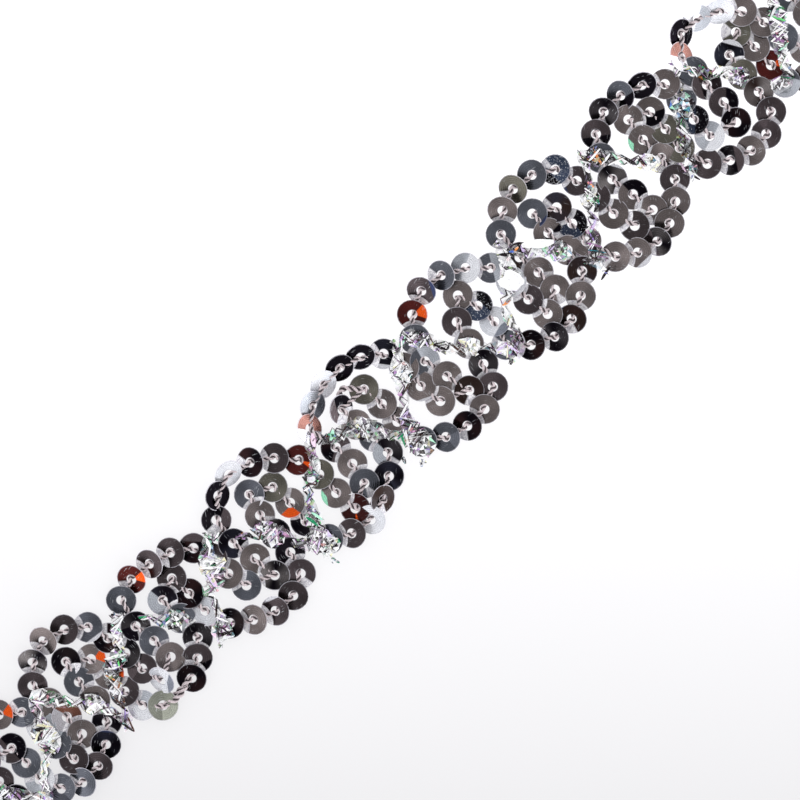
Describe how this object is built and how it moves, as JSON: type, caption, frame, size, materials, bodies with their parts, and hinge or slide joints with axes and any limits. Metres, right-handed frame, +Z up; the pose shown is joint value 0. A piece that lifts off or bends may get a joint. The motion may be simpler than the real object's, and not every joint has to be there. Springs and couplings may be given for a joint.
{
  "type": "sequin trim",
  "caption": "Flat openwork trim of two winding strings of small metallic sequins laced together by a zigzag of crinkled iridescent film tape.",
  "frame": {"origin": "middle of the underside of the cut length, on the surface that it lies on", "axes": "+X along the trim, +Y across it, +Z up from the surface"},
  "size_m": [0.1604, 0.0242, 0.0021],
  "materials": {
    "grey_sequins": "metallised film with fine rings, a dark mirror",
    "dark_sequins": "metallised film with fine rings, a dark mirror",
    "iridescent_film": "crinkled iridescent film",
    "thread": "twisted synthetic sewing thread"
  },
  "bodies": {
    "root": {"upper_string": "grey_sequins", "lower_string": "dark_sequins", "film_tape": "iridescent_film"}
  },
  "joints": []
}
